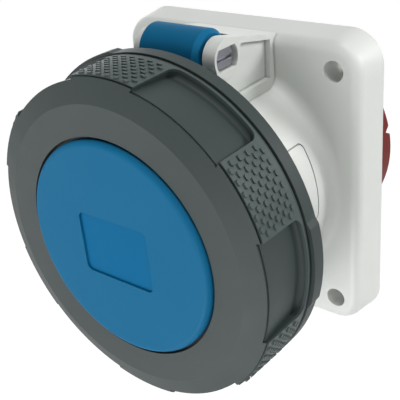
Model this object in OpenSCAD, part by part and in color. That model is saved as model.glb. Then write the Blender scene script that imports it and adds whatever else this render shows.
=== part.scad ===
// Panel socket, three pole, with a hinged lid and a bayonet locking ring.
// Frame: X right, Y into the panel, Z up, millimetres. The origin is the centre of the
// four fixing holes on the rear face of the flange, which lies on the plane Y = 0.
// Inside facing() the local axes are X right, Y up and Z forward, so that local Z is
// the distance in front of the panel. Every length along the socket is such a distance.

/* [Flange] */
// Width of the flange across the panel
flange_width = 70; // [66:0.5:100]
// Height of the flange
flange_height = 75; // [72:0.5:110]
// Thickness of the flange
flange_thickness = 9.3; // [8.5:0.1:14]
// Radius of the flange corners
flange_corner = 8; // [5:0.5:12]
// Rounding of the front edge of the flange
flange_edge = 2.7; // [1:0.1:3.5]
// Distance from the sides of the flange to the fixing holes
hole_inset = 7.5; // [6.5:0.25:12]
// Diameter of the fixing holes
hole_diameter = 5; // [4:0.1:7]

/* [Socket tube] */
// Radius of the bore that takes the plug
mouth_radius = 22.6; // [21:0.1:28]
// Wall of the tube at its mouth
mouth_wall = 3.8; // [3.4:0.1:6]
// Distance from the panel face to the front of the closed lid
depth = 56; // [50:0.5:80]
// Radius of the foot where the tube grows out of the flange
foot_radius = 3; // [1:0.5:5]

/* [Locking ring] */
// Radius over the grip pads at the front edge
pad_radius = 39.1; // [38:0.1:50]
// Wall between the grip pads and the bore of the ring
ring_wall = 2.8; // [2.4:0.1:5]
// Length of the ring along the socket
ring_length = 19.4; // [18:0.1:26]
// Half of the angle each grip pad covers
pad_half_angle = 13; // [9:0.5:16]
// Depth of the finger scoops at their rear end
scoop_depth = 2; // [1:0.1:2.2]

/* [Hinge] */
// Radius of the hinge pin
pin_radius = 2.9; // [2:0.05:3.6]
// Distance between the inner faces of the two hinge lugs
lug_gap = 17.2; // [14:0.1:24]
// Wire diameter of the lid spring
spring_wire = 0.9; // [0.6:0.05:1.1]

/* [Contacts] */
// Radius of the circle on which the contacts sit
contact_pitch = 10.6; // [10:0.1:13]
// Bore of the two live contact sleeves
live_bore = 5.1; // [4:0.05:6]
// Bore of the earth contact sleeve
earth_bore = 7.1; // [5:0.05:8]

/* [Clearances] */
// Gap between a turning part and the part it turns on, on the radius
run_gap = 0.06; // [0.02:0.01:0.1]
// Gap between parts that pass each other
pass_gap = 0.3; // [0.2:0.05:0.6]
// Gap between parts that are fitted together, on each side
seat_gap = 0.05; // [0.02:0.01:0.1]

/* [Hidden] */
$fn = 96;
eps = 0.01;

// Flange and tube
hole_x = flange_width / 2 - hole_inset;
hole_z = flange_height / 2 - hole_inset;
flange_draft = 0.8;
tube_front_radius = mouth_radius + mouth_wall;
tube_radius = tube_front_radius + 0.6;
rim = depth - 7.5;
tube_step = depth - 23;
floor_rear = 8;
floor_front = 12;
recess_radius = tube_radius + 2;
groove_inner = recess_radius + 1.7;
groove_outer = groove_inner + 2.6;
groove_depth = 1.25;
keyway_width = 6;
keyway_depth = 2;

// Engraved outline on the side of the tube
outline_line = 0.3;
outline_rear = 15.6;
outline_up = 5.4;
outline_height = 18.8;
outline_corner = 1.5;

// Bayonet
ramp_radius = tube_front_radius + 5;
ramp_front = rim - 2.5;
ramp_thick = 3;
ramp_half_angle = 12;
lug_inner_radius = tube_front_radius + 3.2;
lug_half_angle = 9;
lug_front = ramp_front - ramp_thick - 0.5;
lug_thick = 3;
lead_in_angle = 14;
lead_in_length = 4.5;

// Locking ring
ring_front = depth - 1.1;
ring_rear = ring_front - ring_length;
ring_bore = pad_radius - ring_wall;
ring_hole = tube_front_radius;
front_wall = 3;
cone_radius = pad_radius - 5.6;
cone_drop = 2.03;
edge_line = 0.3;
pad_rear_radius = pad_radius + 0.3;
scoop_front_radius = pad_radius - 0.95;
scoop_rear_radius = pad_rear_radius - scoop_depth;
scoop_rear = ring_rear + 5;
scoop_corner = 2;
scoop_fillet = 1.1;
band_groove_front = ring_rear + 4.2;
band_groove_rear = ring_rear + 3.7;
collar_band = pad_rear_radius + 0.3;
land_height = 0.5;
land_half_angle = 15;
land_slope = 18.4;

// Studs on the grip pads
stud_long = 1.3;
stud_wide = 0.76;
stud_height = 0.35;
stud_first = 3.1;
stud_pitch = 1.26;
stud_columns = floor((ring_length - 5 - stud_first - 0.9) / stud_pitch) + 1;
stud_rows = 6;
stud_turn = (pad_half_angle - 2.08) / stud_rows;

// Lid
boss_radius = ring_hole - 0.6;
boss_edge = 1.4;
collar_front = ring_front - front_wall - pass_gap;
collar_rear = rim + 0.6;
collar_radius = ring_bore - run_gap;
label_width = 20;
label_height = 15;
label_depth = 0.5;
label_corner = 1.5;
seal_inner = mouth_radius - 0.1;
seal_outer = tube_front_radius + 0.2;
seal_front = rim + 2.1;
seal_rear = rim + pass_gap;

// Retainer between lid and ring
retainer_rear = ring_front - 1.9;
retainer_thick = 0.8;
retainer_inner = boss_radius - 1;
retainer_outer = ring_hole + 1;

// Hinge
hinge_up = ring_bore + 0.05;
hinge_out = ring_rear - 8.85;
barrel_radius = pin_radius + 3;
boss_outer = pin_radius + 1.55;
barrel_left = -lug_gap / 2 + 0.5;
barrel_right = lug_gap / 2 - 0.8;
barrel_chamfer = 1;
lug_right_outer = lug_gap / 2 + 3.4;
lug_left_outer = lug_gap / 2 + 2.4;
strip_angle = 12.8;
arm_half = 7;
arm_top = ring_bore - 1.4;
arm_thick = 3.1;
slot_clear = barrel_radius + 0.5;
pocket_floor = lug_right_outer - 1.4;
end_flat = pin_radius - 0.85;
end_start = lug_right_outer - 2.4;
pin_end = lug_right_outer - 0.8;
pin_slot_width = 0.8;
pin_slot_depth = 1.2;
opening_radius = pin_radius + 0.85;
opening_flat = end_flat + 0.4;

// Lid spring
coil_turns = 6;
coil_steps = 14;
coil_sides = 6;
coil_radius = pin_radius + 0.15 + spring_wire / 2;
coil_pitch = spring_wire + 0.25;
coil_length = coil_turns * coil_pitch;
coil_end = 255;
coil_room = coil_radius + spring_wire / 2 + pass_gap;
leg_x = coil_length / 2;
leg_end = 8.6;

// Contact carrier
block_radius = contact_pitch + 7.4;
block_front = rim - 5;
block_flange = tube_radius + 0.7;
block_flange_rear = 5;
terminal_radius = recess_radius - pass_gap;
terminal_rear = -20;
terminal_tail_radius = terminal_radius - 1;
screw_circle = tube_front_radius - 1.6;
screw_radius = 1.25;
screw_head = 2.6;
screw_front = 20;
screw_head_rear = -16;
live_outer = live_bore / 2 + 1.05;
earth_outer = earth_bore / 2 + 1.15;
clip_thick = 0.58;
clip_groove = 0.3;
sleeve_front = block_front - 3.2;
sleeve_rear = -3;
tongue_rear = -14;
cage_width = 7;
cage_height = 8;
cage_front = -4.6;
cage_rear = -12.6;
cage_wall = 0.9;

housing_grey = [0.87, 0.88, 0.86];
ring_grey = [0.33, 0.36, 0.36];
lid_blue = [0.14, 0.43, 0.62];
carrier_brown = [0.5, 0.2, 0.17];
rubber_black = [0.1, 0.1, 0.1];
steel = [0.6, 0.62, 0.65];
brass = [0.75, 0.6, 0.3];

// ---------------------------------------------------------------- placing helpers

// Local Z points out of the panel, local Y points up.
module facing() {
    rotate([90, 0, 0]) children();
}

// Extrudes a drawing whose first axis is up and second axis is forward along X.
module sideways(x_from, x_to) {
    translate([x_from, 0, 0])
        rotate([90, 0, 90])
            linear_extrude(x_to - x_from) children();
}

// A cylinder along X on the hinge line.
module hinge_round(radius, x_from, x_to) {
    translate([x_from, hinge_up, hinge_out])
        rotate([0, 90, 0])
            cylinder(h = x_to - x_from, r = radius);
}

// A sector of a ring with square section, centred on the angle given.
module arc_block(inner, outer, rear, front, angle, half) {
    rotate([0, 0, angle - half])
        translate([0, 0, rear])
            rotate_extrude(angle = 2 * half)
                translate([inner, 0])
                    square([outer - inner, front - rear]);
}

// A full ring with square section.
module plain_ring(inner, outer, rear, front) {
    translate([0, 0, rear])
        rotate_extrude()
            translate([inner, 0])
                square([outer - inner, front - rear]);
}

// A rectangle with round corners, from four circles and two squares.
module soft_rect(width, height, corner) {
    square([width - 2 * corner, height], center = true);
    square([width, height - 2 * corner], center = true);
    for (sx = [-1, 1], sy = [-1, 1])
        translate([sx * (width / 2 - corner), sy * (height / 2 - corner)])
            circle(corner);
}

// Places its children at the pole with this angle.
module at_pole(angle) {
    rotate([0, 0, angle])
        translate([contact_pitch, 0, 0]) children();
}

// ---------------------------------------------------------------- flange housing

// Section of the flange edge, first axis outwards, second axis forward.
module edge_section() {
    side = flange_corner - flange_draft;
    edge_centre = flange_thickness - flange_edge;
    polygon([[0, 0], [flange_corner, 0], [side, edge_centre], [0, edge_centre]]);
    translate([0, edge_centre - eps])
        square([side - flange_edge, flange_edge + eps]);
    translate([side - flange_edge, edge_centre])
        circle(flange_edge);
}

module flange_plate() {
    half_w = flange_width / 2 - flange_corner;
    half_h = flange_height / 2 - flange_corner;
    translate([0, 0, flange_thickness / 2])
        cube([2 * half_w, 2 * half_h, flange_thickness], center = true);
    for (quarter = [0, 1, 2, 3]) {
        long = quarter % 2 == 0 ? half_h : half_w;
        away = quarter % 2 == 0 ? half_w : half_h;
        rotate([0, 0, 90 * quarter]) {
            translate([away, long, 0])
                rotate([90, 0, 0])
                    linear_extrude(2 * long) edge_section();
            translate([away, long, 0])
                rotate_extrude(angle = 90) edge_section();
        }
    }
}

module tube_body() {
    rotate_extrude()
        difference() {
            union() {
                polygon([[0, 1], [tube_radius, 1], [tube_radius, tube_step],
                         [tube_front_radius, tube_step + 0.6],
                         [tube_front_radius, rim - 0.6],
                         [tube_front_radius - 0.6, rim], [0, rim]]);
                translate([1, flange_thickness - 1])
                    square([tube_radius + foot_radius - 1, foot_radius + 1]);
            }
            translate([tube_radius + foot_radius, flange_thickness + foot_radius])
                circle(foot_radius);
        }
}

// A fine engraved outline round a bare field on the right side of the tube.
module side_outline() {
    field_length = tube_step - 1.5 - outline_rear;
    intersection() {
        rotate([0, 0, 180])
            plain_ring(tube_radius - outline_line, tube_radius + 1, outline_rear - 1, tube_step);
        sideways(0, tube_radius + 2)
            translate([outline_up, outline_rear + field_length / 2])
                difference() {
                    soft_rect(outline_height, field_length, outline_corner);
                    soft_rect(outline_height - 2 * outline_line, field_length - 2 * outline_line,
                              outline_corner - outline_line);
                }
    }
}

// Side view of the hinge support, first axis up, second axis forward.
module web_section() {
    touch_up = hinge_up + boss_outer * cos(strip_angle);
    touch_out = hinge_out - boss_outer * sin(strip_angle);
    fall = (touch_out - 5) * tan(strip_angle);
    polygon([[mouth_radius + 0.6, 5], [touch_up - fall, 5], [touch_up, touch_out],
             [hinge_up, hinge_out], [hinge_up - 1.6, hinge_out + boss_outer * 0.94],
             [mouth_radius + 0.6, hinge_out + 1]]);
}

// Side view of the shallow pocket in the right side of the support.
module pocket_section() {
    difference() {
        polygon([[hinge_up + 1.85, hinge_out - 5.3], [hinge_up - 0.43, flange_thickness + 1.3],
                 [tube_radius, flange_thickness + 1.9],
                 [tube_radius - 0.2, hinge_out + 0.3],
                 [hinge_up - 5, hinge_out + 2.6], [hinge_up - 2, hinge_out]]);
        translate([hinge_up, hinge_out])
            circle(boss_outer);
    }
}

module hinge_support() {
    sideways(lug_gap / 2, lug_right_outer) {
        web_section();
        translate([hinge_up, hinge_out]) circle(boss_outer);
    }
    sideways(-lug_left_outer, -lug_gap / 2) {
        web_section();
        translate([hinge_up, hinge_out]) circle(boss_outer);
    }
    difference() {
        sideways(-lug_gap / 2 - eps, lug_gap / 2 + eps) web_section();
        hinge_round(slot_clear, -lug_gap / 2, lug_gap / 2);
        translate([-lug_gap / 2, tube_radius - 1, hinge_out])
            cube([lug_gap, 40, 20]);
    }
}

// Outline of the pin end seen along the hinge, with two flats.
module pin_end_section(radius, flat) {
    intersection() {
        circle(radius);
        square([2 * flat, 3 * radius], center = true);
    }
}

// One ramp on the tube, with a sloped lead-in where a lug of the ring comes in behind it.
module bayonet_ramp(angle) {
    difference() {
        arc_block(tube_front_radius - 1, ramp_radius, ramp_front - ramp_thick, ramp_front,
                  angle, ramp_half_angle);
        rotate([0, 0, angle + ramp_half_angle])
            translate([tube_front_radius - 3, -lead_in_length, ramp_front - ramp_thick])
                rotate([lead_in_angle, 0, 0])
                    translate([0, -4, -5])
                        cube([12, 14, 5]);
    }
}

module flange_housing() {
    color(housing_grey)
        facing()
            difference() {
                union() {
                    flange_plate();
                    rotate([0, 0, -60]) tube_body();
                    hinge_support();
                    for (angle = [0, 120, 240])
                        bayonet_ramp(angle);
                }
                housing_bore();
                housing_holes();
                hinge_cuts();
                side_outline();
            }
}

module housing_bore() {
    rotate_extrude()
        polygon([[0, -1], [recess_radius, -1], [recess_radius, floor_rear],
                 [block_radius + pass_gap, floor_rear], [block_radius + pass_gap, floor_front],
                 [mouth_radius, floor_front], [mouth_radius, rim - 0.6],
                 [mouth_radius + 0.6, rim], [mouth_radius + 0.6, rim + 1], [0, rim + 1]]);
    translate([-keyway_width / 2, -mouth_radius - keyway_depth, floor_front])
        cube([keyway_width, mouth_radius, rim]);
    plain_ring(groove_inner, groove_outer, -1, groove_depth);
}

module housing_holes() {
    for (sx = [-1, 1], sz = [-1, 1])
        translate([sx * hole_x, sz * hole_z, -1])
            cylinder(h = flange_thickness + 2, d = hole_diameter);
    for (angle = [45, 225])
        rotate([0, 0, angle])
            translate([screw_circle, 0, floor_rear - 1])
                cylinder(h = screw_front - floor_rear + 2, r = screw_radius + seat_gap);
}

module hinge_cuts() {
    hinge_round(pin_radius + seat_gap, -lug_left_outer - 1, end_start);
    sideways(end_start - eps, lug_right_outer + 1)
        translate([hinge_up, hinge_out])
            pin_end_section(opening_radius, opening_flat);
    sideways(pocket_floor, lug_right_outer + 1)
        pocket_section();
    spring_leg(spring_wire / 2 + 0.1, leg_end + 0.3);
}

// ---------------------------------------------------------------- hinge and spring

module hinge_pin() {
    color(steel)
        facing() {
            hinge_round(pin_radius, -lug_left_outer + 0.1, end_start - 0.1);
            difference() {
                sideways(end_start - 0.1 - eps, pin_end)
                    translate([hinge_up, hinge_out])
                        pin_end_section(pin_radius, end_flat);
                translate([pin_end - pin_slot_depth, hinge_up - pin_slot_width / 2, hinge_out - 5])
                    cube([5, pin_slot_width, 10]);
            }
        }
}

// The straight leg of the spring, from the coil outwards.
module spring_leg(radius, reach) {
    translate([leg_x, hinge_up, hinge_out])
        rotate([-coil_end, 0, 0])
            translate([0, 0, coil_radius])
                cylinder(h = reach - coil_radius, r = radius);
}

function coil_point(step, side) =
    let (turn = coil_end - 360 * coil_turns + 360 * step / coil_steps,
         lean = 360 * side / coil_sides,
         reach = coil_radius + spring_wire / 2 * cos(lean),
         along = -coil_length / 2 + coil_pitch * step / coil_steps
                 + spring_wire / 2 * sin(lean))
    [along, hinge_up + reach * sin(turn), hinge_out + reach * cos(turn)];

module spring_coil() {
    last = coil_turns * coil_steps;
    points = [for (step = [0:last]) for (side = [0:coil_sides - 1]) coil_point(step, side)];
    walls = [for (step = [0:last - 1]) for (side = [0:coil_sides - 1])
             let (a = step * coil_sides + side,
                  b = step * coil_sides + (side + 1) % coil_sides,
                  c = b + coil_sides,
                  d = a + coil_sides)
             each [[a, c, b], [a, d, c]]];
    start_cap = [for (side = [0:coil_sides - 1]) side];
    end_cap = [for (side = [coil_sides - 1:-1:0]) last * coil_sides + side];
    polyhedron(points, concat(walls, [start_cap], [end_cap]));
}

module lid_spring() {
    color(steel)
        facing() {
            spring_coil();
            spring_leg(spring_wire / 2, leg_end);
        }
}

// ---------------------------------------------------------------- lid

module lid_disc() {
    rotate_extrude()
        difference() {
            union() {
                translate([0, collar_rear])
                    square([collar_radius, collar_front - collar_rear]);
                translate([0, collar_front - 1])
                    square([boss_radius, depth - boss_edge - collar_front + 1]);
                translate([0, depth - boss_edge - eps])
                    square([boss_radius - boss_edge, boss_edge + eps]);
                translate([boss_radius - boss_edge, depth - boss_edge])
                    circle(boss_edge);
            }
            translate([retainer_inner - 0.2, retainer_rear - seat_gap])
                square([5, retainer_thick + 2 * seat_gap]);
            translate([0, collar_rear - 1])
                square([seal_inner - 1.6, depth - 2.6 - collar_rear + 1]);
            translate([seal_inner - seat_gap, collar_rear - 1])
                square([seal_outer - seal_inner + 2 * seat_gap, seal_front - collar_rear + 1]);
            translate([seal_outer + 2.2, collar_rear - 1])
                square([collar_radius - seal_outer - 4, 1.9]);
        }
}

module lid_arm() {
    difference() {
        translate([-arm_half, arm_top - arm_thick, hinge_out])
            cube([2 * arm_half, arm_thick, collar_rear - hinge_out + 1]);
        hinge_round(barrel_radius - 1, -lug_gap, lug_gap);
    }
    translate([0, hinge_up, hinge_out])
        rotate([0, 90, 0])
            rotate_extrude()
                polygon([[0, barrel_left], [barrel_radius, barrel_left],
                         [barrel_radius, barrel_right - barrel_chamfer],
                         [barrel_radius - barrel_chamfer, barrel_right],
                         [0, barrel_right]]);
}

// The slot through which the spring leg leaves the barrel over the whole travel.
module leg_slot() {
    half = spring_wire / 2 + pass_gap;
    translate([leg_x - half, hinge_up, hinge_out])
        rotate([0, 90, 0])
            rotate([0, 0, 170 - coil_end])
                rotate_extrude(angle = 135)
                    square([barrel_radius + 1, 2 * half]);
}

module lid() {
    color(lid_blue)
        facing()
            difference() {
                union() {
                    lid_disc();
                    lid_arm();
                }
                hinge_round(pin_radius + run_gap, -lug_gap, lug_gap);
                hinge_round(coil_room, -coil_length / 2 - spring_wire / 2 - pass_gap,
                            coil_length / 2 + spring_wire / 2 + pass_gap);
                leg_slot();
                translate([0, 0, depth - label_depth])
                    linear_extrude(2) soft_rect(label_width, label_height, label_corner);
            }
}

module lid_gasket() {
    color(rubber_black)
        facing()
            plain_ring(seal_inner, seal_outer, seal_rear, seal_front);
}

module ring_retainer() {
    color(steel)
        facing()
            arc_block(retainer_inner, retainer_outer, retainer_rear,
                      retainer_rear + retainer_thick, 270, 168);
}

// ---------------------------------------------------------------- locking ring

module ring_blank() {
    rotate_extrude()
        polygon([[ring_hole, ring_front], [cone_radius, ring_front],
                 [pad_radius - edge_line, ring_front - cone_drop + 0.1],
                 [pad_radius - 2 * edge_line, ring_front - cone_drop - edge_line],
                 [pad_radius, ring_front - cone_drop - edge_line],
                 [pad_rear_radius, scoop_rear],
                 [pad_rear_radius, band_groove_front], [pad_rear_radius - 0.5, band_groove_front],
                 [pad_rear_radius - 0.5, band_groove_rear], [collar_band, band_groove_rear],
                 [collar_band, ring_rear + 0.4], [collar_band - 0.4, ring_rear],
                 [ring_bore, ring_rear], [ring_bore, ring_front - front_wall],
                 [ring_hole, ring_front - front_wall],
                 [ring_hole, retainer_rear - pass_gap],
                 [retainer_outer + 0.2, retainer_rear - pass_gap],
                 [retainer_outer + 0.2, retainer_rear + retainer_thick + pass_gap],
                 [ring_hole, retainer_rear + retainer_thick + pass_gap]]);
}

// One finger scoop: everything outside its floor, within its outline.
module scoop_cut(angle) {
    half_width = pad_rear_radius * sin(30 - pad_half_angle);
    length = 2 * ring_length;
    rotate([0, 0, angle])
        intersection() {
            scoop_room();
            translate([ring_bore - 2, 0, scoop_rear + length / 2])
                rotate([0, 90, 0])
                    linear_extrude(8)
                        soft_rect(length, 2 * half_width, scoop_corner);
        }
}

// The space outside the scoop floor, all the way round, with a fillet at the rear and a
// fine line at the front.
module scoop_room() {
    line_front = ring_front - cone_drop + 0.2;
    fillet = [for (turn = [0:22.5:90])
              [scoop_rear_radius + scoop_fillet * (1 - sin(turn)),
               scoop_rear + scoop_fillet * (1 - cos(turn))]];
    rotate_extrude()
        polygon(concat(fillet, [[scoop_front_radius, line_front - edge_line],
                                [scoop_front_radius - edge_line, line_front - edge_line],
                                [scoop_front_radius - edge_line / 2, line_front],
                                [scoop_front_radius - edge_line / 2, ring_front + 1],
                                [pad_radius + 3, ring_front + 1],
                                [pad_radius + 3, scoop_rear]]));
}

// An oval stud that stands on a pad, longest round the ring.
module grip_stud(turn, out) {
    pad_front = ring_front - cone_drop;
    flare = (pad_front - out) / (pad_front - scoop_rear);
    surface = pad_radius + flare * (pad_rear_radius - pad_radius);
    reach = (stud_long - stud_wide) / 2;
    rotate([0, 0, turn])
        translate([surface - 0.5, 0, out])
            rotate([0, 90, 0])
                linear_extrude(0.5 + stud_height) {
                    square([stud_wide, 2 * reach], center = true);
                    for (side = [-1, 1])
                        translate([0, side * reach])
                            circle(d = stud_wide, $fn = 24);
                }
}

// Offset rows of studs on the six pads.
module grip_studs() {
    for (pad = [30:60:330], column = [0:stud_columns - 1], row = [-stud_rows:stud_rows])
        if ((column + row) % 2 != 0)
            grip_stud(pad + row * stud_turn, ring_front - stud_first - column * stud_pitch);
}

// A raised land on the collar, with sloped ends.
module collar_land(angle) {
    difference() {
        arc_block(collar_band - 1, collar_band + land_height,
                  ring_rear + 0.4, band_groove_rear, angle, land_half_angle + 0.5);
        for (side = [-1, 1])
            rotate([0, 0, angle + side * land_half_angle])
                translate([collar_band, 0, ring_rear])
                    rotate([0, 0, side * land_slope])
                        translate([0, -5, 0])
                            cube([3, 10, 5]);
    }
}

module locking_ring() {
    color(ring_grey)
        facing() {
            grip_studs();
            difference() {
                union() {
                    rotate([0, 0, 30]) ring_blank();
                    for (angle = [-1, 119, 239])
                        collar_land(angle);
                    for (angle = [30, 150, 270])
                        arc_block(lug_inner_radius, ring_bore + 0.5,
                                  lug_front - lug_thick, lug_front,
                                  angle, lug_half_angle);
                }
                for (angle = [0, 60, 120, 180, 240, 300])
                    scoop_cut(angle);
            }
        }
}

// ---------------------------------------------------------------- gasket and carrier

module flange_gasket() {
    color(rubber_black)
        facing()
            plain_ring(groove_inner + seat_gap * 2, groove_outer - seat_gap * 2,
                       0, groove_depth - seat_gap);
}

module contact_block() {
    color(ring_grey)
        facing()
            difference() {
                rotate_extrude()
                    polygon([[0, block_flange_rear], [block_flange, block_flange_rear],
                             [block_flange, floor_rear - seat_gap],
                             [block_radius, floor_rear - seat_gap],
                             [block_radius, block_front - 0.6],
                             [block_radius - 0.6, block_front], [0, block_front]]);
                for (angle = [30, 150])
                    at_pole(angle) sleeve_room(live_bore / 2, live_outer);
                at_pole(270) sleeve_room(earth_bore / 2, earth_outer);
                for (angle = [45, 225])
                    rotate([0, 0, angle])
                        translate([screw_circle, 0, 0])
                            cylinder(h = 20, r = screw_radius + 0.25);
            }
}

// Room for a sleeve and its clip, with a smaller entry for the plug pin.
module sleeve_room(bore, outer) {
    translate([0, 0, -1])
        cylinder(h = sleeve_front + 0.2 + 1, r = outer + clip_thick - clip_groove + 0.17);
    translate([0, 0, sleeve_front])
        cylinder(h = 10, r = bore + 0.2);
}

module terminal_housing() {
    color(carrier_brown)
        facing()
            difference() {
                rotate_extrude()
                    polygon([[0, terminal_rear], [terminal_tail_radius - 0.8, terminal_rear],
                             [terminal_tail_radius, terminal_rear + 0.8], [terminal_radius, -0.5],
                             [terminal_radius, block_flange_rear - pass_gap],
                             [0, block_flange_rear - pass_gap]]);
                for (angle = [30, 150, 270])
                    at_pole(angle) clamp_room();
                for (angle = [45, 225])
                    rotate([0, 0, angle])
                        translate([screw_circle, 0, terminal_rear - 1]) {
                            cylinder(h = 40, r = screw_radius + 0.25);
                            cylinder(h = screw_head_rear + 2 - terminal_rear + 1,
                                     r = screw_head + 0.2);
                        }
                rim_notch();
            }
}

// Room for a clamp, with a wire hole and a release slot through the rear wall.
module clamp_room() {
    translate([-cage_height / 2 - 0.5, -cage_width / 2 - 0.5, tongue_rear - 1])
        cube([cage_height + 1, cage_width + 1, 40]);
    translate([0, 0, sleeve_rear - 0.5])
        cylinder(h = 20, r = earth_outer + 0.6);
    translate([-2, 0, terminal_rear - 1])
        cylinder(h = 20, r = 2.1);
    translate([2.2, -1.75, terminal_rear - 1])
        cube([1.6, 3.5, 20]);
}

// A V notch in the rear rim on the right.
module rim_notch() {
    rotate([0, 0, 10.9])
        translate([terminal_tail_radius - 3, 0, terminal_rear])
            rotate([0, 90, 0])
                linear_extrude(6)
                    polygon([[0.5, -1.75], [-2.9, 0], [0.5, 1.9]]);
}

module carrier_screws() {
    color(steel)
        facing()
            for (angle = [45, 225])
                rotate([0, 0, angle])
                    translate([screw_circle, 0, 0])
                        difference() {
                            union() {
                                translate([0, 0, screw_head_rear])
                                    cylinder(h = 2 - seat_gap, r = screw_head);
                                translate([0, 0, screw_head_rear + 1])
                                    cylinder(h = screw_front - screw_head_rear - 1,
                                             r = screw_radius);
                            }
                            translate([-5, -0.4, screw_head_rear - 1])
                                cube([10, 0.8, 1.8]);
                        }
}

// ---------------------------------------------------------------- contacts

// A slotted contact sleeve with a shoulder at the rear and a flat tongue.
module contact_sleeve(bore, outer, front) {
    room = outer + clip_thick - clip_groove + 0.17;
    color(brass)
        difference() {
            union() {
                rotate_extrude()
                    polygon([[0, sleeve_rear], [outer, sleeve_rear], [outer, 9],
                             [room - seat_gap, 9], [room - seat_gap, 11.5], [outer, 11.5],
                             [outer, front - 8], [outer - clip_groove, front - 8],
                             [outer - clip_groove, front - 5], [outer, front - 5],
                             [outer, front - 0.5], [outer - 0.5, front], [0, front]]);
                translate([-0.8, -2, tongue_rear])
                    cube([1.6, 4, sleeve_rear - tongue_rear + 1]);
            }
            translate([0, 0, front - 25])
                cylinder(h = 40, r = bore);
            for (turn = [45, 135])
                rotate([0, 0, turn])
                    translate([-10, -0.3, front - 19])
                        cube([20, 0.6, 30]);
        }
}

// A split spring ring that closes the slotted end of a sleeve.
module sleeve_clip(outer, front) {
    color(steel)
        arc_block(outer - clip_groove + 0.02, outer - clip_groove + clip_thick,
                  front - 7.9, front - 5.1, 0, 160);
}

// A box-shaped clamp body round the tongue, open to the front and the rear.
module clamp_cage() {
    color(brass)
        difference() {
            translate([-cage_height / 2, -cage_width / 2, cage_rear])
                cube([cage_height, cage_width, cage_front - cage_rear]);
            translate([-cage_height / 2 + cage_wall, -cage_width / 2 + cage_wall, cage_rear - 1])
                cube([cage_height - 2 * cage_wall, cage_width - 2 * cage_wall, 20]);
        }
}

// A bent leaf spring between the cage and the tongue.
module clamp_spring() {
    wide = cage_width - 2 * cage_wall - 0.6;
    far = cage_height / 2 - cage_wall - seat_gap;
    color(steel)
        translate([0, wide / 2, 0])
            rotate([90, 0, 0])
                linear_extrude(wide)
                    polygon([[far, cage_rear + 0.6], [far, cage_front - 0.6],
                             [far - 0.5, cage_front - 0.3], [far - 1.1, cage_front - 1],
                             [0.9, cage_rear + 2.6], [0.9, cage_rear + 1.8],
                             [1.3, cage_rear + 2], [far - 1, cage_front - 1.7],
                             [far - 0.45, cage_front - 1.1], [far - 0.45, cage_rear + 0.6]]);
}

module contact_sleeve_l() {
    facing() at_pole(30) contact_sleeve(live_bore / 2, live_outer, sleeve_front);
}

module contact_sleeve_n() {
    facing() at_pole(150) contact_sleeve(live_bore / 2, live_outer, sleeve_front);
}

module contact_sleeve_pe() {
    facing() at_pole(270) contact_sleeve(earth_bore / 2, earth_outer, sleeve_front);
}

module sleeve_clip_l() {
    facing() at_pole(30) sleeve_clip(live_outer, sleeve_front);
}

module sleeve_clip_n() {
    facing() at_pole(150) sleeve_clip(live_outer, sleeve_front);
}

module sleeve_clip_pe() {
    facing() at_pole(270) sleeve_clip(earth_outer, sleeve_front);
}

module clamp_cage_l() {
    facing() at_pole(30) clamp_cage();
}

module clamp_cage_n() {
    facing() at_pole(150) clamp_cage();
}

module clamp_cage_pe() {
    facing() at_pole(270) clamp_cage();
}

module clamp_spring_l() {
    facing() at_pole(30) clamp_spring();
}

module clamp_spring_n() {
    facing() at_pole(150) clamp_spring();
}

module clamp_spring_pe() {
    facing() at_pole(270) clamp_spring();
}

// ---------------------------------------------------------------- nodes

flange_housing();
flange_gasket();
hinge_pin();
lid_spring();
lid();
lid_gasket();
ring_retainer();
locking_ring();
contact_block();
terminal_housing();
carrier_screws();
contact_sleeve_l();
contact_sleeve_n();
contact_sleeve_pe();
sleeve_clip_l();
sleeve_clip_n();
sleeve_clip_pe();
clamp_cage_l();
clamp_cage_n();
clamp_cage_pe();
clamp_spring_l();
clamp_spring_n();
clamp_spring_pe();
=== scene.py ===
# %% [markdown]
# # A panel socket with a hinged lid and a locking ring
#
# The socket arrives as finished solids: a pale flange housing, a blue lid, a dark ring that turns
# on the lid, and a red-brown carrier behind the flange. They are the frame of this lesson. Nothing
# in the frame is moved or reshaped. What is added here is what makes moulded plastic look real:
# finishes with grain, sheen and soft edges, zones of a different tone, painted shade in the
# crevices and on the cone of the ring, a deeper colour painted on the lid's label field as a
# stand-in for its weaker sheen, soft light and a camera.
#
# The first cell loads the frame. The box of the whole socket is kept, for placing the floor and the
# lamps.

import bpy
import bmesh
import math
from mathutils import Matrix, Vector


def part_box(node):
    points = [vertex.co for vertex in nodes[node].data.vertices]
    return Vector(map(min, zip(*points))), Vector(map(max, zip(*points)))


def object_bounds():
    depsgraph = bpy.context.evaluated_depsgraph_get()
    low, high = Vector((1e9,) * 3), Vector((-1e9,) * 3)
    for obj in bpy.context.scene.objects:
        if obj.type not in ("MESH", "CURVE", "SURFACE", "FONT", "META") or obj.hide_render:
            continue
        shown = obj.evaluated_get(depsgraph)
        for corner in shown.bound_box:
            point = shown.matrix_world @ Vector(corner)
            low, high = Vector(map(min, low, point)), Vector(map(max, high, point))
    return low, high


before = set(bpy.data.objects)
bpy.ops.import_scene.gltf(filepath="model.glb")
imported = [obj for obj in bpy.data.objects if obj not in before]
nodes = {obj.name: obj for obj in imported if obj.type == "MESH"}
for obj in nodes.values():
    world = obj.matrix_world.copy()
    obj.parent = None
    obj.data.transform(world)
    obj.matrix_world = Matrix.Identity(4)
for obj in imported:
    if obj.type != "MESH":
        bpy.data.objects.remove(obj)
cad_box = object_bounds()
mm = 0.001
print("solids in the frame:", ", ".join(sorted(nodes)))
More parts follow.
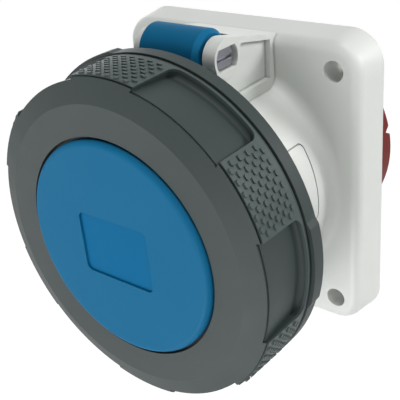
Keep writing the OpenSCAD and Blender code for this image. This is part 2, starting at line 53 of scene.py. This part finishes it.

# %% [markdown]
# ## The places that the zones need
#
# Some finishes change at a line on a solid: the pads of the ring are paler than its scoops, its
# cone is painted darker as painted shade, and the field on the lid is painted a little deeper in
# colour as a stand-in for its weaker sheen. Such lines are measured on the frame and not typed in.
# The ring is round about the Y axis, so its box gives its front, its rear and its radius. It is
# widest at the raised lands of its collar, so that radius is the one over the lands.

# %% Measure the ring and the lid
ring_low, ring_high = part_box("locking_ring")
lid_low, lid_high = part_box("lid")
ring_front = ring_low.y
ring_rear = ring_high.y
land_radius = ring_high.x
lid_face = lid_low.y
print(f"ring from y {ring_front / mm:.1f} to {ring_rear / mm:.1f} mm")
print(f"radius over the lands {land_radius / mm:.1f} mm")
print(f"lid from y {lid_face / mm:.1f} to {lid_high.y / mm:.1f} mm")

# %% [markdown]
# ## Writing shader maths as ordinary sums
#
# A material in Blender is a graph of nodes. Long chains of Math nodes are hard to read when each
# one is wired by hand, so this small class wraps one output socket. Adding, multiplying or
# subtracting wrapped sockets adds the Math node and returns its output, so `1 - mask * 0.3` reads
# like the sum it is. The method `node` makes every other kind of node: settings first, then the
# values or links of its inputs.

# %% A wrapper for shader sockets
class Signal:
    def __init__(self, tree, socket):
        self.tree = tree
        self.socket = socket

    def node(self, kind, settings, inputs, output=0):
        made = self.tree.nodes.new(kind)
        for name, value in settings.items():
            setattr(made, name, value)
        for name, value in inputs.items():
            socket = made.inputs[name]
            if isinstance(value, Signal):
                self.tree.links.new(value.socket, socket)
            else:
                socket.default_value = value
        return Signal(self.tree, made.outputs[output])

    def math(self, operation, first, second=0.0):
        return self.node("ShaderNodeMath", {"operation": operation}, {0: first, 1: second})

    def root(self):
        return self.math("SQRT", self)

    def __add__(self, other):
        return self.math("ADD", self, other)

    __radd__ = __add__

    def __sub__(self, other):
        return self.math("SUBTRACT", self, other)

    def __rsub__(self, other):
        return self.math("SUBTRACT", other, self)

    def __mul__(self, other):
        return self.math("MULTIPLY", self, other)

    __rmul__ = __mul__

    def __gt__(self, other):
        return self.math("GREATER_THAN", self, other)

    def __lt__(self, other):
        return self.math("LESS_THAN", self, other)


print("sockets wrapped in", Signal.__name__, "can be added, multiplied and compared")

# %% [markdown]
# ## Starting a finish
#
# Every finish here starts the same way: a new material, its Principled shader, and the place of the
# point being shaded in metres. Object coordinates are used because the frame's solids carry no UV
# map, and because a grain measured in metres has the same size on every piece.

# %% Start a finish
def start_finish(name):
    finish = bpy.data.materials.new(name)
    finish.use_nodes = True
    tree = finish.node_tree
    shader = tree.nodes["Principled BSDF"]
    place = Signal(tree, tree.nodes.new("ShaderNodeTexCoord").outputs["Object"])
    print("finish", name)
    return finish, shader, place


def plug(signal, shader, name):
    signal.tree.links.new(signal.socket, shader.inputs[name])


# %% [markdown]
# ## Noise, colour and relief
#
# Three things come back from finish to finish. A noise of a given size says how a property drifts
# over the surface. A tint mixes two colours by such a noise. A relief turns a noise into bent
# normals through a Bump node, on top of a Bevel node that bends the normals close to each edge.
# Edges in a mould are never sharp, so each edge then catches a thin line of light, while the solids
# stay as they are.

# %% Helpers for colour and relief
edge_samples = 4


def noise(place, size, detail=2.0, rough=0.5):
    return place.node("ShaderNodeTexNoise", {}, {"Vector": place, "Scale": 1.0 / size,
                                                 "Detail": detail, "Roughness": rough})


def tint(factor, low, high):
    first = low if isinstance(low, Signal) else (*low, 1.0)
    return factor.node("ShaderNodeMix", {"data_type": "RGBA"},
                       {"Factor": factor, 6: first, 7: (*high, 1.0)}, output=2)


def soft_relief(height, strength, depth, edge):
    soft_edge = height.node("ShaderNodeBevel", {"samples": edge_samples}, {"Radius": edge})
    return height.node("ShaderNodeBump", {}, {"Strength": strength, "Distance": depth,
                                              "Height": height, "Normal": soft_edge})


print("edges are softened with", edge_samples, "samples")

# %% [markdown]
# ## Painted shade in the crevices
#
# Corners, grooves, the gap round the lid and the feet of the studs get less light, and here that
# shade is painted: the Ambient Occlusion node measures how open the space is within a fraction of a
# millimetre, and the colour is darkened where it isn't. A finish can also take a tone, a wrapped
# number that multiplies the colour in zones; the ring's tone paints shade on its cone. A colour and
# a number can't be multiplied directly, so the number is spread over red, green and blue first.

# %% Darken the crevices
crevice_reach = 0.6 * mm
crevice_samples = 8


def openness(place):
    return place.node("ShaderNodeAmbientOcclusion", {"samples": crevice_samples},
                      {"Distance": crevice_reach}, output=1)


def shaded(colour, place, painted_crevice_shade, tone_and_painted_shade):
    # painted shade: the colour is darkened where the Ambient Occlusion node finds little open space
    shade = 1.0 - painted_crevice_shade * (1.0 - openness(place))
    if tone_and_painted_shade is not None:
        shade = shade * tone_and_painted_shade(place)
    spread = place.node("ShaderNodeCombineXYZ", {}, {"X": shade, "Y": shade, "Z": shade})
    return place.node("ShaderNodeVectorMath", {"operation": "MULTIPLY"}, {0: colour, 1: spread})


print("crevices are felt within", crevice_reach / mm, "mm")

# %% [markdown]
# ## Moulded plastic
#
# Injection-moulded plastic isn't one flat colour. Its colour drifts a little where the melt flowed,
# its spark-eroded mould leaves a fine grain that scatters the light, and its gloss varies in soft
# patches. The colour and the roughness follow two slow noises, and the grain is a fast noise that
# goes into the relief. A finish can take a field, a mask that is one where another colour takes
# over, such as on a place that is left for a label.

# %% Moulded plastic finish
drift_size = 18 * mm
patch_size = 6 * mm
patch_swing = 0.12
grain_swing = 0.08
grain_strength = 0.5


def moulded_plastic(name, low, high, roughness, grain_size, grain_depth, edge, gloss,
                    painted_crevice_shade=0.5, tone_and_painted_shade=None, field=None, field_colour=None):
    finish, shader, place = start_finish(name)
    drift = noise(place, drift_size, detail=3.0)
    patches = noise(place, patch_size)
    grain = noise(place, grain_size, detail=3.0, rough=0.6)
    colour = tint(drift, low, high)
    if field is not None:
        colour = tint(field(place), colour, field_colour)
    plug(shaded(colour, place, painted_crevice_shade, tone_and_painted_shade), shader, "Base Color")
    sheen = roughness + (patches - 0.5) * patch_swing + (grain - 0.5) * grain_swing
    plug(sheen, shader, "Roughness")
    plug(soft_relief(grain, grain_strength, grain_depth, edge), shader, "Normal")
    shader.inputs["Specular IOR Level"].default_value = gloss
    print("  grain of", round(grain_size / mm, 2), "mm")
    return finish


# %% [markdown]
# ## The housing, the carrier and the block
#
# The housing is satin and pale, and its grain is shallow. The carrier behind the flange is nearly
# matt. Edges are softened by about a sixth of a millimetre, as a mould's are.

# %% Finishes in one colour
housing_plastic = moulded_plastic(
    "pale_grey_plastic", (0.68, 0.70, 0.67), (0.74, 0.76, 0.73), roughness=0.42,
    grain_size=0.35 * mm, grain_depth=0.012 * mm, edge=0.15 * mm, gloss=0.35, painted_crevice_shade=0.75)
carrier_plastic = moulded_plastic(
    "red_brown_plastic", (0.135, 0.015, 0.012), (0.165, 0.020, 0.016), roughness=0.50,
    grain_size=0.35 * mm, grain_depth=0.015 * mm, edge=0.20 * mm, gloss=0.08)
block_plastic = moulded_plastic(
    "block_grey_plastic", (0.040, 0.050, 0.049), (0.048, 0.060, 0.059), roughness=0.50,
    grain_size=0.28 * mm, grain_depth=0.015 * mm, edge=0.15 * mm, gloss=0.20)

# %% [markdown]
# ## Zones of the ring
#
# The ring is one moulding, yet its colour changes in zones. Its pads are made paler than the rest,
# and its cone is painted darker, which is painted shade. The zones are told apart by the distance
# from the axis: the scoops lie deeper than the pads and the studs stand highest. The front and the
# cone are told apart by their place along Y. A comparison gives one or zero, so comparisons that
# are multiplied make a mask.

# %% Zones of the ring
pad_level = land_radius - 1.45 * mm
cone_start = ring_front + 0.02 * mm
cone_end = ring_front + 2.4 * mm
pads_end = ring_rear - 4.6 * mm
pad_gain = 0.72
cone_painted_shade = 0.10


def axes(place):
    split = place.node("ShaderNodeSeparateXYZ", {}, {"Vector": place})
    return [Signal(place.tree, output) for output in split.socket.node.outputs]


def ring_tone_and_painted_shade(place):
    x, y, z = axes(place)
    distance = (x * x + z * z).root()
    on_pad = (distance > pad_level) * (y > cone_end) * (y < pads_end)
    on_cone = (y > cone_start) * (y < cone_end)
    # painted shade: the cone is darkened; the pads are made paler
    return 1.0 + on_pad * pad_gain - on_cone * cone_painted_shade


ring_plastic = moulded_plastic(
    "dark_grey_plastic", (0.032, 0.044, 0.043), (0.038, 0.051, 0.050), roughness=0.50,
    grain_size=0.28 * mm, grain_depth=0.020 * mm, edge=0.15 * mm, gloss=0.20, painted_crevice_shade=0.15,
    tone_and_painted_shade=ring_tone_and_painted_shade)

# %% [markdown]
# ## The field on the lid
#
# A shallow sunken field in the middle of the lid takes a label. Its floor is painted a little
# deeper in colour than the disc round it, a painted stand-in for its weaker sheen. The mask is a
# box: close to the axis both ways, and at the depth of that floor, so that the disc in front and
# the inside of the lid behind keep their colour.

# %% Zone of the lid
field_half_width = 10.0 * mm
field_half_height = 7.5 * mm
field_top = lid_face + 0.3 * mm
field_bottom = lid_face + 0.7 * mm


def label_field(place):
    x, y, z = axes(place)
    within = (x * x < field_half_width ** 2) * (z * z < field_half_height ** 2)
    sunken = (y > field_top) * (y < field_bottom)
    return within * sunken


# painted reflection: the field's deeper colour stands in for its weaker sheen
lid_plastic = moulded_plastic(
    "blue_plastic", (0.007, 0.127, 0.262), (0.010, 0.139, 0.284), roughness=0.45,
    grain_size=0.30 * mm, grain_depth=0.010 * mm, edge=0.15 * mm, gloss=0.04, painted_crevice_shade=0.3,
    field=label_field, field_colour=(0.000, 0.127, 0.290))

# %% [markdown]
# ## Rubber
#
# Rubber is nearly black and scatters almost all the light that it returns, with a faint bloom on
# its surface. One slow noise drives both the bloom and the roughness, because a bloomed patch is
# also a duller one.

# %% Rubber finish
bloom_size = 5 * mm
bloom_swing = 0.2
rubber_roughness = 0.72
rubber_grain = 0.25 * mm


def moulded_rubber(name, low, high):
    finish, shader, place = start_finish(name)
    bloom = noise(place, bloom_size, detail=4.0)
    plug(tint(bloom, low, high), shader, "Base Color")
    plug(rubber_roughness + (bloom - 0.5) * bloom_swing, shader, "Roughness")
    relief = place.node("ShaderNodeBump", {}, {"Strength": 0.4, "Distance": 0.02 * mm,
                                               "Height": noise(place, rubber_grain)})
    plug(relief, shader, "Normal")
    return finish


seal_rubber = moulded_rubber("seal_rubber", (0.012, 0.012, 0.013), (0.030, 0.030, 0.032))

# %% [markdown]
# ## Metal
#
# Drawn steel wire and turned brass keep fine marks along one direction, so their noise is stretched
# with a Mapping node before it drives the roughness and the relief. A small scale along one axis
# makes the marks long on that axis.

# %% Metal finishes
mark_size = 0.12 * mm
mark_swing = 0.18
stain_size = 4 * mm
along_x = (0.1, 1.0, 1.0)
along_y = (1.0, 0.1, 1.0)


def worked_metal(name, low, high, roughness, stretch):
    finish, shader, place = start_finish(name)
    marks = noise(place.node("ShaderNodeMapping", {}, {"Vector": place, "Scale": stretch}),
                  mark_size)
    plug(tint(noise(place, stain_size, detail=3.0), low, high), shader, "Base Color")
    plug(roughness + (marks - 0.5) * mark_swing, shader, "Roughness")
    plug(soft_relief(marks, strength=0.3, depth=0.008 * mm, edge=0.08 * mm), shader, "Normal")
    shader.inputs["Metallic"].default_value = 1.0
    return finish


bright_steel = worked_metal("bright_steel", (0.27, 0.28, 0.32), (0.36, 0.37, 0.41), 0.34, along_x)
black_steel = worked_metal("black_steel", (0.010, 0.010, 0.011), (0.022, 0.022, 0.024), 0.50,
                           along_y)
turned_brass = worked_metal("turned_brass", (0.70, 0.52, 0.26), (0.80, 0.62, 0.34), 0.28, along_y)

# %% [markdown]
# ## Giving the finishes to the solids
#
# Each solid keeps its mesh and the normals that came with it, which already make its curved walls
# look round. Only the material in its slot changes. The contacts and clamps are brass, and every
# piece that isn't named here is bright steel.

# %% Give each solid its finish
finish_of = {"flange_housing": housing_plastic, "lid": lid_plastic, "locking_ring": ring_plastic,
             "contact_block": block_plastic, "terminal_housing": carrier_plastic,
             "flange_gasket": seal_rubber, "lid_gasket": seal_rubber, "ring_retainer": black_steel}
for name, solid in sorted(nodes.items()):
    if name in finish_of:
        finish = finish_of[name]
    elif name.startswith(("contact_sleeve", "clamp_cage")):
        finish = turned_brass
    else:
        finish = bright_steel
    solid.data.materials.clear()
    solid.data.materials.append(finish)
    print(f"{name}: {finish.name}")

# %% [markdown]
# ## A white surround that adds no light
#
# Around a small product the studio is white, yet a world bright enough to look white would flood
# the pale housing. The Light Path node tells rays apart: rays from the camera and rays mirrored by
# gloss see plain white, while all others see the dimmer light that does the lighting.

# %% White for the camera and for reflections
def seen_directly(tree):
    path = tree.nodes.new("ShaderNodeLightPath")
    camera_ray = Signal(tree, path.outputs["Is Camera Ray"])
    glossy_ray = Signal(tree, path.outputs["Is Glossy Ray"])
    transmission_ray = Signal(tree, path.outputs["Is Transmission Ray"])
    return camera_ray + glossy_ray + transmission_ray


def mix_shaders(tree, factor, first, second, result):
    mix = tree.nodes.new("ShaderNodeMixShader")
    tree.links.new(factor.socket, mix.inputs[0])
    tree.links.new(first, mix.inputs[1])
    tree.links.new(second, mix.inputs[2])
    tree.links.new(mix.outputs[0], result)


ambient_strength = 0.08
white = (1.0, 1.0, 1.0, 1.0)
world = bpy.data.worlds.new("studio")
bpy.context.scene.world = world
world.use_nodes = True
tree = world.node_tree
lighting = tree.nodes["Background"]
lighting.inputs["Color"].default_value = white
lighting.inputs["Strength"].default_value = ambient_strength
surround = tree.nodes.new("ShaderNodeBackground")
surround.inputs["Color"].default_value = white
surround.inputs["Strength"].default_value = 1.0
mix_shaders(tree, seen_directly(tree), lighting.outputs[0], surround.outputs[0],
            tree.nodes["World Output"].inputs["Surface"])
print("world lights at", ambient_strength, "and looks white")

# %% [markdown]
# ## The floor
#
# The floor is one large pale square, well below the socket, since the socket is held by its flange
# and doesn't stand on it. It uses the same trick as the surround, but in part, so that it stays
# near white and still keeps the soft shadow.

# %% Floor
floor_whiteness = 0.9
floor_glow = 1.1
floor_drop = 0.30
floor_reach = 3.0


def pale_floor():
    finish, shader, _ = start_finish("pale_floor")
    shader.inputs["Base Color"].default_value = (0.80, 0.80, 0.80, 1.0)
    shader.inputs["Roughness"].default_value = 0.9
    shader.inputs["Specular IOR Level"].default_value = 0.0
    tree = finish.node_tree
    glow = tree.nodes.new("ShaderNodeEmission")
    glow.inputs["Strength"].default_value = floor_glow
    mix_shaders(tree, seen_directly(tree) * floor_whiteness, shader.outputs[0], glow.outputs[0],
                tree.nodes["Material Output"].inputs["Surface"])
    return finish


low_corner, high_corner = cad_box
floor_height = low_corner[2] - floor_drop
shape = bmesh.new()
corners = [shape.verts.new((x * floor_reach, y * floor_reach, floor_height))
           for x, y in [(-1, -1), (1, -1), (1, 1), (-1, 1)]]
shape.faces.new(corners)
mesh = bpy.data.meshes.new("floor")
shape.to_mesh(mesh)
shape.free()
mesh.materials.append(pale_floor())
floor = bpy.data.objects.new("floor", mesh)
bpy.context.scene.collection.objects.link(floor)
print("floor at", round(floor_height / mm, 1), "mm")

# %% [markdown]
# ## Light
#
# Broad lamps make soft light. The strongest stands at the right behind the flange and lights its
# edge and the tube. One is above, one at the upper right lights the studs and the ends of the
# finger scoops, and weaker ones fill the front, the left and what faces down. The last one is a
# gloss card: with `visible_diffuse` off it shows only as a sheen, which lifts the dark ring a
# little and leaves the matt part of every colour alone.

# %% Light
def soft_lamp(name, place, size, power):
    lamp = bpy.data.lights.new(name, "AREA")
    lamp.shape = "DISK"
    lamp.size = size
    lamp.energy = power
    holder = bpy.data.objects.new(name, lamp)
    bpy.context.scene.collection.objects.link(holder)
    holder.location = place
    aim = middle - Vector(place)
    holder.rotation_euler = aim.to_track_quat("-Z", "Y").to_euler()
    print(f"{name}: {power} W")
    return holder


middle = (Vector(low_corner) + Vector(high_corner)) / 2
soft_lamp("top_lamp", (0.10, -0.10, 0.90), size=0.5, power=3.5)
soft_lamp("right_back_lamp", (0.7, 0.45, 0.4), size=0.35, power=4.8)
soft_lamp("low_front_lamp", (0.2, -0.75, -0.15), size=0.5, power=3.1)
soft_lamp("low_left_lamp", (-0.45, -0.6, -0.15), size=0.5, power=2.2)
soft_lamp("right_front_lamp", (0.5, -0.7, 0.1), size=0.5, power=0.3)
soft_lamp("left_back_lamp", (-0.75, 0.35, 0.10), size=0.5, power=1.0)
soft_lamp("right_top_lamp", (0.75, -0.20, 0.55), size=0.3, power=1.3)
card = soft_lamp("gloss_card", (-0.03, -0.33, -0.25), size=0.2, power=0.8)
card.visible_diffuse = False

# %% [markdown]
# ## Camera
#
# The camera looks down on the socket from the front right. It stands so close that what is in
# front looks clearly larger than what is behind. A camera's matrix holds its right, its up and its
# backward direction, so these three are worked out from two angles and a small roll.

# %% Camera
camera_place = (0.1126, -0.1556, 0.0887)
camera_azimuth = 41.05
camera_elevation = 27.63
camera_roll = -5.73
focal_length = 71.55
film_width = 36.0
nearest = 0.01


def look_from(azimuth, elevation, roll):
    turn, rise, tip = (math.radians(value) for value in (azimuth, elevation, roll))
    right = Vector((math.cos(turn), math.sin(turn), 0))
    back = Vector((math.sin(turn) * math.cos(rise), -math.cos(turn) * math.cos(rise),
                   math.sin(rise)))
    up = back.cross(right)
    side = math.cos(tip) * right + math.sin(tip) * up
    top = -math.sin(tip) * right + math.cos(tip) * up
    return Matrix((side, top, back)).transposed().to_4x4()


lens = bpy.data.cameras.new("camera")
lens.sensor_width = film_width
lens.lens = focal_length
lens.clip_start = nearest
camera = bpy.data.objects.new("camera", lens)
bpy.context.scene.collection.objects.link(camera)
direction = look_from(camera_azimuth, camera_elevation, camera_roll)
camera.matrix_world = Matrix.Translation(camera_place) @ direction
bpy.context.scene.camera = camera
bpy.context.scene.view_settings.view_transform = "Standard"
print("camera at azimuth", camera_azimuth, "and elevation", camera_elevation)
